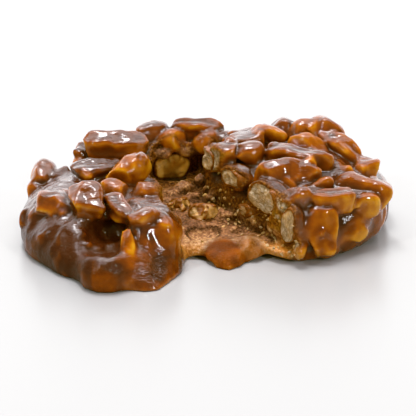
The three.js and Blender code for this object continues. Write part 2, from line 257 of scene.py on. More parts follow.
coatedPecans = [  # kind, middle, turn, lean, roll, growth, and how golden it shows (0 dark to 1)
    # left lobe, from the back to the foot
    ("log", -19.6, 17, 14.8, 0, 0, 0, 1.05, 0.3),
    ("bit", -25.8, 19, 12.4, 60, 20, 0, 0.9, 0.3),
    ("plump", -34.6, 12.4, 9.2, 75, 32, 0, 0.9, 0.45),
    ("bit", -36, 9, 7, 90, 0, 0, 0.8, 0.6),
    ("half", -22.6, 9, 11.9, 20, 0, 0, 0.95, -0.2),
    ("plump", -16, 4, 13.6, 33, 17, 0, 1.05, 0.85),
    ("slab", -24.2, -10.5, 12.5, 90, 35, 0, 0.95, 0.4),
    ("chunk", -30.4, -7, 9.6, 5, 0, 0, 1.1, 0.5),
    ("plump", -35.6, -2, 5.4, 75, 8, 0, 0.85, 0.25),
    ("bit", -18.9, -3, 11.6, -20, -8, 0, 1.1, 0.7),
    ("log", -17.4, -11.6, 11.6, -62, -15, 0, 0.74, 0.5),
    ("bit", -12.2, -4, 11.8, -15, 0, 0, 1, 0.6),
    ("slab", -12, -9.5, 10.6, 20, 0, 0, 0.85, 0.3),
    ("bit", -12.6, -15.8, 10.6, 35, 9, 0, 1.1, 0.42),
    ("sliver", -15.4, -22.4, 6.8, 90, 55, 0, 0.95, 0.9),
    ("bit", -22.4, -17.6, 3.8, 10, 0, 0, 0.9, 0.6),
    ("plump", -29.6, -11.4, 5.8, 20, 0, 0, 0.9, 0.1),
    ("plump", -26.4, -16.6, 4.4, 60, 60, 0, 0.85, 0.2),
    ("bit", -15.5, -25.8, 1.6, 0, 0, 0, 0.75, 0.8),
    # right lobe, from the back to the front wall
    ("curl", 12.6, 17, 17.4, 180, 0, 0, 1, 0.8),
    ("bit", 16.8, 22, 17, 30, 0, 0, 1.15, 0.3),
    ("bit", 20.3, 19, 17.5, 40, 20, 0, 0.95, 0.75),
    ("plump", 23.7, 20, 17.5, 70, 10, 0, 0.8, 0.75),
    ("plump", 26.8, 19, 17.2, -60, -30, 0, 0.85, 0.5),
    ("plump", 21.3, 13, 15.8, -33, -12, 0, 0.95, 0.8),
    ("log", 29.1, 13.8, 14.6, -35, -27, 0, 0.92, 0.7),
    ("log", 19.3, 6, 15.6, -22, 0, 0, 1.05, 0.4),
    ("log", 17, 0, 14.2, 10, 0, 0, 1.02, 0.5),
    ("chunk", 33.6, 9, 12.2, 40, 0, 0, 0.8, 0.7),
    ("wedge", 31, 0.6, 10.8, -17, -9, -20, 1.02, 0.45),
    ("block", 25.3, -7.5, 11.4, 3, 0, 0, 1, 0.48),
    ("chunk", 31.5, -4.4, 9.5, 30, 0, 0, 0.88, 0.6),
    ("bit", 23.8, -2.4, 13.4, 10, 0, 0, 0.7, 0.6),
    ("chunk", 17.6, -8.4, 12.3, 15, 0, 0, 0.94, 0.3),
    ("tooth", 23.4, -11.2, 6.3, 90, 72, 0, 1.04, 0.34),
    ("bit", 29.6, -6.8, 4.2, 30, 20, 0, 1.15, 0.45),
    ("bit", 18.6, -14.2, 3.4, 75, 60, 0, 0.7, 0.5),
    ("bit", 34.8, 1, 5.4, 80, 50, 0, 1.15, 0.35),
    ("chunk", 4, 9.5, 14.8, 10, 0, 0, 0.95, 0.5),
    ("bit", 9.1, 8.4, 15.8, 0, 0, 0, 1.1, 0.5),
    ("slab", 8.4, 15, 16, 10, 0, 0, 0.9, 0.3),
    ("plump", 8, 20.5, 14.6, 20, 0, 0, 0.95, 0.3),
]

rimPecans = [  # on the bridge behind the bite, which left them whole
    ("plump", -11.8, 24, 15.2, 20, 0, 0, 0.85, 0.3),
    ("bit", -6.8, 26.5, 13.6, -10, 0, 0, 0.95, 0.4),
    ("bit", -7.5, 22.4, 14, -5, 0, 0, 1.1, 0.65),
    ("log", -1.4, 25, 15.2, -5, 0, 0, 0.85, 0.4),
    ("bit", 0.2, 21.8, 13.9, 41, 31, 0, 1, 0.6),
]

gapPecans = [  # small ones that close gaps in the skyline
    ("bit", 4, 23, 13.9, 10, 0, 0, 1.05, 0.4),
    ("bit", -15.4, 21.5, 13.4, 30, 0, 0, 0.9, 0.4),
]

chips = {"count": 60, "low": 0.36, "high": 0.55, "reach": (36, 27), "step": 2.4, "lean": 20, "sunk": 0.3,
         "fillet": 0.6}
topPecans = {"tries": 150, "reach": 0.92, "spacing": 7, "sunk": 0.2, "grow": 0.95, "lean": 30, "lowest": 0.75,
             "kinds": ("bit", "plump", "bit", "slab")}
rings = [
    {"count": 9, "from": 28, "to": 160, "z": 4.2, "sunk": 2.4, "kinds": ("plump", "bit", "chunk"), "grow": 0.85},
    {"count": 9, "from": 25, "to": 165, "z": 9.5, "sunk": 1.4, "kinds": ("bit", "plump"), "grow": 0.95},
]
ringLean = 80
firstSeeds = {"rim": 40, "broken": 60, "chips": 90, "gaps": 150}  # for the broken faces of each set


def seededNumbers(seed):
    state = seed
    while True:
        state = state * 16807 % 2147483647
        yield state / 2147483647


def caramelTop(x, y):
    heights = [0]
    for (cx, cy, cz), size, turn, square in lobes:
        a = math.radians(-turn)
        u = (x - cx) * math.cos(a) - (y - cy) * math.sin(a)
        v = (x - cx) * math.sin(a) + (y - cy) * math.cos(a)
        room = 1 - abs(2 * u / size[0]) ** square - abs(2 * v / size[1]) ** square
        if room > 0:
            heights.append(cz + size[2] / 2 * room ** (1 / square))
    return max(heights)


def packedPecans():
    # the same rule as the solids: a sunflower spiral over the bare top, then two rings behind
    numbers = seededNumbers(patty["seed"])
    rows = coatedPecans + rimPecans
    golden = math.pi * (3 - math.sqrt(5))
    for i in range(topPecans["tries"]):
        r = topPecans["reach"] * math.sqrt((i + 0.5) / topPecans["tries"])
        x = patty["width"] / 2 * r * math.cos(i * golden)
        y = patty["depth"] / 2 * r * math.sin(i * golden)
        top = caramelTop(x, y)
        crowded = any(math.hypot(row[1] - x, row[2] - y) < topPecans["spacing"] for row in rows)
        if top < patty["caramelHeight"] * topPecans["lowest"] or crowded:
            continue
        kind = topPecans["kinds"][len(rows) % len(topPecans["kinds"])]
        turn, lean = next(numbers) * 180, (next(numbers) - 0.5) * topPecans["lean"]
        tone = 0.2 + 0.6 * (i % 3) / 2
        rows.append((kind, x, y, top - topPecans["sunk"], turn, lean, 0, topPecans["grow"], tone))
    for ring in rings:
        for i in range(ring["count"]):
            step = (i + next(numbers) * 0.5) / (ring["count"] - 0.5)
            angle = ring["from"] + (ring["to"] - ring["from"]) * step
            way = math.radians(angle)
            reach = patty["width"] / 2
            while caramelTop(reach * math.cos(way), reach * math.sin(way)) < ring["z"]:
                reach -= 0.2
            reach -= ring["sunk"]
            z = ring["z"] + next(numbers) - 0.5
            kind = ring["kinds"][i % len(ring["kinds"])]
            lean = (next(numbers) - 0.5) * ringLean
            tone = 0.3 + 0.5 * (i % 2)
            x, y = reach * math.cos(way), reach * math.sin(way)
            rows.append((kind, x, y, z, angle + 90, lean, 0, ring["grow"], tone))
    return [row for row in rows if row not in rimPecans]


# the bite: its plan run up from a sloping floor, with torn walls, and the film that the teeth left
bite = {
    "floor": 2.6, "rise": 0.1, "mouth": -14,  # height at the mouth, slope to the back, and where the mouth is
    "rim": 12.6, "rimFrom": 21.6, "rimSlope": 3, "rimTear": 1.3,  # the bridge behind, with a torn underside
    "tear": 1.0, "grain": 0.5, "edge": 0.6, "proud": 0.3, "lip": 0.5, "tornReach": 1.3,
    "sheath": 0.4, "sheathEdge": 0.4, "seat": 0.3, "seatEdge": 0.2,  # sugar round a broken nut, and its seat in it
}
bitePlan = [
    (2, -32), (14, -32), (18, -15), (14.8, -10.2), (12.3, -6), (8, -2.5), (3.6, 5), (-0.2, 12),
    (2, 19.5), (0.5, 23.8), (-5, 22.2), (-10.5, 21.2), (-11.8, 15), (-10.8, 8), (-9.6, 0),
    (-8.8, -7), (-4.2, -14), (-4, -22),
]
filmShape = {"edge": 0.8, "dropFillet": 1.6, "dropUneven": 0.6, "cragFillet": 0.8, "archFillet": 0.5, "reach": 3.2,
             "inPlan": 0.6}
floorFilm = ((4, 3, 0), (40, 29, 9), 0, 2.8)
frontDrops = [
    ((3.8, -11, -0.5), (8.6, 11.4, 7.6), 10, 2.2),
    ((8.2, -9.4, 0.2), (7, 7.6, 7.4), 20, 2.2),
]
floorLumps = [
    ((4.4, 2.6, 4.0), (5.4, 4.6, 3.8), 20, 2.3),
    ((-4.6, 15, 5.4), (3.4, 2.8, 3), 10, 2.3),
    ((-1, 16.8, 6), (3.6, 3, 3.4), 40, 2.3),
    ((0.6, 13.6, 5.8), (2.8, 2.6, 2.6), 0, 2.3),
    ((-7, 13, 5), (3, 2.4, 2.4), 70, 2.3),
    ((1.8, 9, 5.6), (3.8, 3, 3), 20, 2.3),
    ((-2.6, 11, 5), (3, 2.4, 1.8), 0, 2.3),
    ((9.8, 0, 4.6), (3, 3, 3.4), 0, 2.3),
    ((5.6, -4, 3.2), (3.4, 2.4, 2.2), 30, 2.3),
]
tornLedges = [
    ((-3, 22.8, 12), (8.6, 4.4, 2.8), 5, 2.3),
    ((-9.8, 21, 11.8), (4, 4, 2.4), 0, 2.3),
]
floorArches = [
    ((-1.2, -13.8, 0), (6.5, 8, 2), 0, 2.2),
    ((13, -11.8, 0), (8, 8, 2), 20, 2.2),
]
filmDish = ((-0.6, -5.2, 4.4), (7.4, 6.2, 4.4), 8, 2.6)


def smoothPlan(points, steps):
    # the same closed curve as the solids' plan, through every point
    loop = np.array(points, float)
    before, after, beyond = np.roll(loop, 1, 0), np.roll(loop, -1, 0), np.roll(loop, -2, 0)
    out = []
    for i in range(len(loop)):
        p0, p1, p2, p3 = before[i], loop[i], after[i], beyond[i]
        t0, t1, t2 = [max(np.linalg.norm(b - a), 1e-6) ** 0.5 for a, b in ((p0, p1), (p1, p2), (p2, p3))]
        m1 = t1 * ((p1 - p0) / t0 - (p2 - p0) / (t0 + t1)) + (p2 - p1)
        m2 = t1 * ((p3 - p2) / t2 - (p3 - p1) / (t1 + t2)) + (p2 - p1)
        for s in np.arange(steps) / steps:
            out.append((2 * s**3 - 3 * s**2 + 1) * p1 + (s**3 - 2 * s**2 + s) * m1
                       + (3 * s**2 - 2 * s**3) * p2 + (s**3 - s**2) * m2)
    return np.array(out)


def planDistance(x, y, outline):
    # signed distance in plan, negative inside the outline
    nearest = np.full(x.shape, 1e9)
    inside = np.zeros(x.shape, bool)
    for a, b in zip(outline, np.roll(outline, -1, 0)):
        along = b - a
        t = np.clip(((x - a[0]) * along[0] + (y - a[1]) * along[1]) / max(along @ along, 1e-9), 0, 1)
        nearest = np.minimum(nearest, (x - a[0] - t * along[0]) ** 2 + (y - a[1] - t * along[1]) ** 2)
        crosses = (a[1] > y) != (b[1] > y)
        inside ^= crosses & (x < a[0] + (y - a[1]) * along[0] / (along[1] if along[1] else 1e-9))
    return np.where(inside, -1, 1) * np.sqrt(nearest)


biteOutline = smoothPlan(bitePlan, 4)


def offPlan(at):
    # how far a column of the grid stands off the bite's plan
    return planDistance(at[0][:, :, 0], at[1][:, :, 0], biteOutline)[:, :, None]


def biteFloor(y):
    return bite["floor"] + bite["rise"] * (y - bite["mouth"])


def biteDistance(at):
    tear = bite["tear"] * softNoise(at, 3.0, 1)
    tear = tear + bite["grain"] * (softNoise(at, 1.5, 2) + 0.6 * softNoise(at, 0.9, 7))
    crumble = 0.35 * softNoise(at, 2.2, 3) + 0.25 * softNoise(at, 1.0, 4)
    under = at[2] - bite["rim"] - bite["rimSlope"] * np.maximum(bite["rimFrom"] - at[1], 0)
    under = under + bite["rimTear"] * softNoise(at, 3.2, 12)
    cut = smoothMax(offPlan(at) + tear, biteFloor(at[1]) + crumble - at[2], bite["edge"])
    return smoothMax(cut, under, bite["edge"])


def breakDistance(at):
    # how far a point lies on the side that the bite took, with the nuts standing a little proud
    return -offPlan(at) - bite["proud"]


def swellDistance(at, swell):
    centre, size, turn, square = swell
    return lumpDistance(turned(at, centre, turn), size, square)


def pecanDistance(at, kind, centre, turn, lean, roll, grow, seed, chops=3):
    shape = pecanKinds[kind]
    own = turned(at, centre, turn, lean, roll)
    size = [s * grow for s in shape["size"]]
    core = [s - 2 * patty["nutRound"] for s in size]
    wide = lumpDistance(own, core, shape["square"], shape["bend"], shape["crease"], shape.get("ribs", 0))
    wide = wide - patty["nutRound"]
    numbers = seededNumbers(seed * 977 + 11)
    for _ in range(chops):  # broken faces of a chopped nut
        way = np.array([next(numbers) - 0.5, next(numbers) - 0.5, next(numbers) - 0.4])
        way = way / np.linalg.norm(way)
        reach = patty["chop"] * math.sqrt(sum((w * s / 2) ** 2 for w, s in zip(way, size)))
        wide = smoothMax(wide, sum(w * c for w, c in zip(way, own)) - reach, patty["chopEdge"])
    return wide + patty["nutWaver"] * (softNoise(at, 2.6, seed % 13) + 0.6 * softNoise(at, 1.3, seed % 11 + 20))


def scatterBits():
    # small chips that fell into the gaps
    numbers = seededNumbers(patty["seed"] + 9)
    for i in range(chips["count"]):
        reach, way = math.sqrt((i + 0.5) / chips["count"]), i * chips["step"]
        x, y = chips["reach"][0] * reach * math.cos(way), chips["reach"][1] * reach * math.sin(way)
        turn = next(numbers) * 180
        grow = chips["low"] + (chips["high"] - chips["low"]) * next(numbers)
        yield x, y, turn, grow, next(numbers)


# pecans that the bite broke, and loose ones on its floor: kind, middle, turn, lean, roll, growth
bittenPecans = {
    "pecan_bitten_tip": ("nub", (0.9, 11, 14), 105, 0, 0, 0.85),
    "pecan_bitten_upper": ("plump", (6.4, 2.8, 12.6), 118, -8, 0, 0.85),
    "pecan_bitten_front": ("nub", (12.6, -4.8, 11.3), -39, -14, 0, 1.0),
    "pecan_bitten_middle": ("bit", (9, -2, 7.2), -40, 12, 0, 0.8),
    "pecan_bitten_low": ("plump", (16.8, -12.2, 7.8), -56, 78, 0, 0.8),
    "pecan_bitten_back": ("nub", (-7.5, 22.4, 8.2), 5, 0, 0, 1.0),
}
loosePecans = {
    "pecan_loose_left": ("bit", (-5.6, 6, 5), 25, 15, 0, 0.85),
    "pecan_loose_middle": ("bit", (-0.6, 2, 5), -15, 10, 0, 1.0),
}


def pecanPatch(grid, warped, kind, centre, turn, lean, roll, grow, seed, chops=3):
    shape = pecanKinds[kind]
    reach = max(shape["size"]) * grow / 2 * (1 + shape["bend"] * 0.4) + 4
    part = grid.near(np.array(centre), reach)
    return part, pecanDistance([c[part] for c in warped], kind, centre, turn, lean, roll, grow, seed, chops)


# where a change starts, along an axis or off a shape, and the run over which it grows (below zero: downwards)
fades = {
    "sunkTopZ": (7, 4), "smoothFootZ": (8, -4), "smoothFootX": (-17, -4), "roughFloorY": (2, 8),
    "sunnyX": (16, 6), "sunnyY": (4, -6), "bridgeX": (10, -10), "bridgeY": (18, 2),
    "footZ": (10, -6), "footX": (-14, -4), "hollow": (1.4, -1.4), "drop": (1.4, -1.1), "dish": (0.5, -0.5),
    "insideNut": (-0.3, -0.4), "fleshY": (22, -6), "filmBackY": (20, -10), "filmFrontY": (-17.5, 2),
    "thinEdgeY": (-9, -2.5), "frontAmberY": (-3, -6), "backAmberY": (4, 8),
    "crumbX": (-2, 4), "crumbY": (14, -4), "crumbZ": (15, -3),
}


def fade(value, place):
    start, run = fades[place]
    return np.clip((value - start) / run, 0, 1)


def growLobes(at):
    field = swellDistance(at, lobes[0])
    for lobe in lobes[1:]:
        field = smoothMin(field, swellDistance(at, lobe), patty["lobeFillet"])
    field = smoothMax(field, -swellDistance(at, lobeHollow), patty["hollowFillet"])
    field = smoothMax(field, -swellDistance(at, lobeCave), patty["caveFillet"])
    runs = (at[0], at[1], at[2] * patty["runDraw"])
    bulge = softNoise(at, patty["bulge"], 14) + 0.6 * softNoise(runs, patty["run"], 15)
    field = field + patty["sink"] * fade(at[2], "sunkTopZ")  # it sank between the nuts on top
    smoothFoot = fade(at[2], "smoothFootZ") * fade(at[0], "smoothFootX")
    return field - patty["lobeSwell"] * bulge * (1 - 0.6 * smoothFoot), bulge


def pourFilm(at, field):
    # what is left on the floor of the bite: the film, drops at its front, crags, and a dish in it
    rough = 0.35 * softNoise(at, 2.4, 5) + (0.2 + 0.3 * fade(at[1], "roughFloorY")) * softNoise(at, 1.2, 6)
    top = at[2] - bite["floor"] - bite["rise"] * (at[1] - bite["mouth"]) + rough
    sheet = smoothMax(swellDistance(at, floorFilm), top, filmShape["edge"])
    field = smoothMin(field, sheet, filmShape["edge"])
    for drop in frontDrops:
        uneven = filmShape["dropUneven"] * softNoise(at, 1.9, 8)
        field = smoothMin(field, swellDistance(at, drop) + uneven, filmShape["dropFillet"])
    crags = 0.5 * softNoise(at, 2, 8) + 0.6 * softNoise(at, 1.2, 19)
    for lump in floorLumps + tornLedges:
        field = smoothMin(field, swellDistance(at, lump) + crags, filmShape["cragFillet"])
    for hollow in floorArches + [filmDish]:
        field = smoothMax(field, -swellDistance(at, hollow), filmShape["archFillet"])
    return field, top


def growPatty():
    grid = FieldGrid(*patty["room"], patty["cell"])
    at = grid.at
    warped = [c + patty["nutWarp"] * softNoise(at, patty["warpSize"], 30 + a) for a, c in enumerate(at)]
    field, bulge = growLobes(at)
    walls = np.minimum(swellDistance(at, lobes[3]), swellDistance(at, lobes[-1]))
    walls = walls + patty["wallSugar"]  # thin sugar over nuts
    nuts = np.full(field.shape, 5.0)  # far from any
    tones = np.full(field.shape, sugar["middleTone"])

    def addPecan(kind, x, y, z, turn, lean, roll, grow, tone, seed, fillet=patty["nutFillet"]):
        part, wide = pecanPatch(grid, warped, kind, (x, y, z), turn, lean, roll, grow, seed)
        field[part] = smoothMin(field[part], wide, fillet)
        tones[part] = np.where(wide < nuts[part], tone, tones[part])
        nuts[part] = np.minimum(nuts[part], wide)

    for n, row in enumerate(packedPecans()):
        addPecan(*row, n)
    for n, row in enumerate(gapPecans):
        addPecan(*row, firstSeeds["gaps"] + n)
    for n, (x, y, turn, grow, tone) in enumerate(scatterBits()):
        column = field[tuple(((np.array((x, y)) - grid.low[:2]) / grid.cell).astype(int))]
        z = grid.low[2] + grid.cell * np.nonzero(column < 0)[0].max(initial=0) - chips["sunk"]
        addPecan("bit", x, y, z, turn, chips["lean"], 0, grow, tone, firstSeeds["chips"] + n, chips["fillet"])
    for n, row in enumerate(bittenPecans.values()):  # sugar over the nuts that the bite will break
        part, wide = pecanPatch(grid, at, *row, firstSeeds["broken"] + n, 0)
        field[part] = smoothMin(field[part], wide - bite["sheath"], patty["nutFillet"])
    field = field + patty["ripple"] * (softNoise(at, 2, 9) + 0.8 * softNoise(at, 1, 10))
    gone = -biteDistance(at)
    field = smoothMax(field, gone, bite["lip"])
    for n, row in enumerate(rimPecans):
        addPecan(*row, firstSeeds["rim"] + n)
    for n, row in enumerate(bittenPecans.values()):  # room for the broken nuts, and for what the bite took of them
        part, wide = pecanPatch(grid, at, *row, firstSeeds["broken"] + n, 0)
        before = breakDistance([c[part] for c in at])
        taken = smoothMax(wide - bite["sheath"], -before, bite["sheathEdge"])
        field[part] = smoothMax(field[part], -taken, bite["sheathEdge"])
        field[part] = smoothMax(field[part], -wide - bite["seat"], bite["seatEdge"])
    field, top = pourFilm(at, field)
    low, high = [np.array(corner) / mm for corner in cadBox]
    for axis in range(3):  # no tip stands out of the solids' box
        past = np.abs(at[axis] - (low + high)[axis] / 2) - (high - low)[axis] / 2
        field = smoothMax(field, past, patty["boxEdge"])
    onFilm = np.clip(filmShape["reach"] - np.abs(top), 0, 1) * np.clip(filmShape["inPlan"] - offPlan(at), 0, 1)
    fields = {"nuts": nuts, "walls": walls, "tone": tones, "bulge": bulge, "film": onFilm,
              "bitten": np.clip(bite["tornReach"] - np.abs(gone), 0, 1)}
    return grid, grid.keepLargest(field), fields


def edgesOf(quads):
    pairs = np.concatenate([np.sort(quads[:, [i, (i + 1) % 4]], axis=1) for i in range(4)])
    return np.unique(pairs, axis=0)


def neighbourMean(values, edges):
    ends = np.concatenate([edges[:, 0], edges[:, 1]])
    others = np.concatenate([edges[:, 1], edges[:, 0]])
    count = np.bincount(ends, minlength=len(values))
    if values.ndim == 1:
        return np.bincount(ends, values[others], len(values)) / count
    return np.stack([np.bincount(ends, values[others, a], len(values)) / count for a in range(3)], axis=1)


def fairSkin(points, edges, rounds):
    for _ in range(rounds):  # smooth without shrinking
        points = points + 0.5 * (neighbourMean(points, edges) - points)
        points = points - 0.52 * (neighbourMean(points, edges) - points)
    return points


def makePiece(name, points, quads, attributes):
    mesh = bpy.data.meshes.new(name)
    mesh.vertices.add(len(points))
    mesh.vertices.foreach_set("co", (points * mm).astype(np.float32).ravel())
    mesh.loops.add(quads.size)
    mesh.loops.foreach_set("vertex_index", quads.astype(np.int32).ravel())
    mesh.polygons.add(len(quads))
    mesh.polygons.foreach_set("loop_start", np.arange(0, quads.size, 4, dtype=np.int32))
    mesh.update(calc_edges=True)
    mesh.validate()
    mesh.shade_smooth()
    for key, values in attributes.items():
        flat = np.ndim(values) == 1
        layer = mesh.attributes.new(key, "FLOAT" if flat else "FLOAT_VECTOR", "POINT")
        layer.data.foreach_set("value" if flat else "vector", np.asarray(values, np.float32).ravel())
    piece = bpy.data.objects.new(name, mesh)
    bpy.context.collection.objects.link(piece)
    return piece


def normalsOf(points, quads):
    cross = np.cross(points[quads[:, 2]] - points[quads[:, 0]], points[quads[:, 3]] - points[quads[:, 1]])
    corners = quads.T.ravel()
    total = np.stack([np.bincount(corners, np.tile(cross[:, a], 4), len(points)) for a in range(3)], axis=1)
    return total / np.maximum(np.linalg.norm(total, axis=1, keepdims=True), 1e-9)


# how deep the sugar looks, and painted shade: none shows a nut golden, deep sugar is brown, and tops, gaps and the
# front hollow are drawn darker as painted shade
sugar = {
    "thin": 0.3, "overNut": 0.46, "soak": 1.1, "tone": 0.42, "middleTone": 0.4, "ridge": 0.28, "ridgeSpan": 0.2,
    "level": 0.65, "gap": 0.42, "bulge": 0.16, "foot": 0.26, "footBulge": 1.4, "hollow": 0.3, "drop": 0.64,
}
dulling = {"drop": 0.9, "gap": 0.25, "foot": 0.4, "hollow": 0.25, "bareNut": 0.75, "sunnyNut": 0.4, "dryFoot": 0.85}
# film tone; its gap term is painted shade, its front and back terms are painted light
amberTone = {"middle": 0.33, "patchy": 0.2, "ridge": 0.2, "gap": 0.3, "front": 0.36, "back": 0.08, "least": 0.12}
gleam = {"x": -10.6, "z": 3.4, "wide": 3.4, "high": 2.4, "front": -20, "crinkle": 2.4}  # at the left foot


def layMarks(points, normals, ridge, cavity, seen):
    at = list(points.T)
    x, y, z = at
    cover = 1 - np.exp(-np.maximum(np.minimum(seen["nuts"], seen["walls"]), 0) / sugar["soak"])
    sunny = fade(x, "sunnyX") * fade(y, "sunnyY")
    bridge = fade(y, "bridgeY") * fade(np.abs(x + 4), "bridgeX")
    foot = fade(z, "footZ") * fade(x, "footX")
    drops = [fade(swellDistance(at, drop), "drop") for drop in frontDrops]
    drop = np.maximum(drops[0], 0.75 * drops[1])
    hollow = np.minimum(swellDistance(at, lobeHollow), swellDistance(at, lobeCave))
    hollow = fade(np.abs(hollow), "hollow")
    torn = seen["bitten"] * (1 - drop)
    # painted shade on tops: faces that look up are drawn darker, less so on the right front nuts
    level = np.maximum(normals[:, 2], 0) ** 1.5 * np.clip(1.55 - seen["tone"], 0, 1) * (1 - 0.25 * sunny)
    depth = sugar["thin"] + sugar["overNut"] * cover - sugar["tone"] * (seen["tone"] - sugar["middleTone"])
    # painted shade: the level term darkens faces that look up, the gap term darkens gaps and creases
    depth = depth - sugar["ridge"] * ridge + sugar["level"] * level + sugar["gap"] * cavity + sugar["foot"] * foot
    depth = depth - sugar["bulge"] * seen["bulge"] * cover * (1 + sugar["footBulge"] * foot)
    depth = depth + drop * (sugar["drop"] + 0.2 * softNoise(at, 2.4, 18) - 0.2 * ridge - depth)
    # painted shade: darker in the hollow and the cave under the front nuts of the left lobe
    depth = depth + sugar["hollow"] * hollow
    # bare nut in the torn walls
    meat = fade(seen["nuts"], "insideNut") * np.clip(seen["bitten"] * 2, 0, 1)
    meat = meat * np.maximum(fade(y, "fleshY"), 0.3)
    # the film on the floor, its crags and the ledges over it
    ledge = np.minimum(*[swellDistance(at, lump) for lump in tornLedges])
    crag = np.min([swellDistance(at, lump) for lump in floorLumps], axis=0)
    onFilm = seen["film"] * np.maximum(fade(y, "filmBackY"), 0.3) * fade(y, "filmFrontY")
    onFilm = np.maximum(onFilm, np.clip(1 - ledge, 0, 0.8) * (z < 13))
    onFilm = np.maximum(onFilm, np.clip(1.2 - crag, 0, 0.85)) * (1 - drop)
    amber = amberTone["middle"] + amberTone["patchy"] * softNoise(at, 3.4, 17)
    # painted shade and light: darker in the film's creases (gap), lighter towards its thin front as a painted glow,
    # and lighter at the back of the bite to lift its shade
    amber = amber + amberTone["ridge"] * ridge - amberTone["gap"] * cavity
    amber = amber + amberTone["front"] * fade(y, "frontAmberY") + amberTone["back"] * fade(y, "backAmberY")
    # painted light and shade in the dish: lighter deep in it, darker at its rim
    inDish = fade(np.abs(swellDistance(at, filmDish)), "dish")
    amber = amber + inDish * np.clip(0.9 * (biteFloor(y) - z) - 0.5, -0.3, 0.35)
    # gloss: none on torn faces, little in gaps and low down, and less on a nut with hardly any sugar
    dull = np.maximum(np.maximum(torn, onFilm), np.maximum(dulling["drop"] * drop, dulling["gap"] * cavity))
    dull = np.maximum(dull, np.maximum(dulling["foot"] * foot, dulling["hollow"] * hollow))
    bare = np.maximum(dulling["sunnyNut"] * sunny, bridge)
    bare = np.maximum(np.clip(2 * seen["tone"] - 1, 0, 1), bare) * (1 - cover)
    dry = np.maximum(np.maximum(dull, dulling["bareNut"] * bare), dulling["dryFoot"] * foot)
    shine = np.exp(-((x - gleam["x"]) / gleam["wide"]) ** 2 - ((z - gleam["z"]) / gleam["high"]) ** 2)
    wrinkled = 0.1 + 0.5 * np.clip(normals[:, 2], 0, 1) ** 2 + gleam["crinkle"] * shine * (y < gleam["front"])
    return {
        "sugarDepthAndShade": depth, "bitten": torn, "dull": dull, "wet": 1 - np.clip(dry, 0, 1), "nutMeat": meat,
        "film": onFilm, "amber": np.maximum(amber, amberTone["least"]), "wrinkled": wrinkled,
        "edge": 0.6 * fade(y, "thinEdgeY"),  # the thin front edge lets light through
        "crumbs": torn * (fade(x, "crumbX") * fade(y, "crumbY")) * fade(z, "crumbZ"),
    }


def dressPatty():
    grid, field, fields = growPatty()
    points, quads = grid.skin(field)
    edges = edgesOf(quads)
    points = fairSkin(points, edges, 1)
    points = np.clip(points, *[np.array(corner) / mm for corner in cadBox])
    normals = normalsOf(points, quads)
    seen = {key: grid.sample(values, points) for key, values in fields.items()}
    ridge = np.einsum("ij,ij->i", points - neighbourMean(points, edges), normals) / patty["cell"] ** 2
    for _ in range(3):
        ridge = neighbourMean(ridge, edges)
    ridge = np.clip(ridge / sugar["ridgeSpan"], -1, 1)
    cavity = 1 - np.clip(grid.sample(field, points + patty["feel"] * normals) / patty["feel"], 0, 1)
    marks = layMarks(points, normals, ridge, cavity, seen)
    depths = np.percentile(marks["sugarDepthAndShade"], [5, 50, 95]).round(2)
    print("patty:", len(quads) * 2, "triangles, sugar depth", depths)
    return makePiece("caramel_patty", points, quads, marks)


# Cooked sugar caramel, poured and set over toasted pecans: wet gloss, golden where it is thin over a nut,
# brown where deep and where shade is painted in, and a dull grainy break where it was bitten.
caramelLook = {
    "mottleSize": 3.0, "mottle": 0.36, "grit": 0.55, "gritDepth": 0.5, "wrinkle": 1.1, "wrinkleDepth": 0.3,
    "wrinkleDraw": 0.3, "wrinkleTurn": 20, "roughness": 0.12, "tornRoughness": 0.36, "specular": 0.1,
    "coat": 0.85, "coatRoughness": 0.04, "ior": 1.5, "tornShare": 0.75, "grains": 1.6, "scatter": 0.9,
    "seeThrough": 0.15,
}
coatTones = [(0, "#DA9A2C"), (0.14, "#C47E16"), (0.3, "#A85C0C"), (0.5, "#88420A"), (0.7, "#6C310D"),
             (0.88, "#582910"), (1, "#461F12")]
filmTones = [(0, "#34190F"), (0.25, "#6C4430"), (0.5, "#9C6A48"), (0.75, "#D09C68"), (1, "#EECEA4")]
tornTones = [(0.34, "#2C150A"), (0.5, "#6A3812"), (0.68, "#B47A36")]
fleshTones = [(0.3, "#6E5034"), (0.5, "#B0926A"), (0.68, "#E4D2B2")]


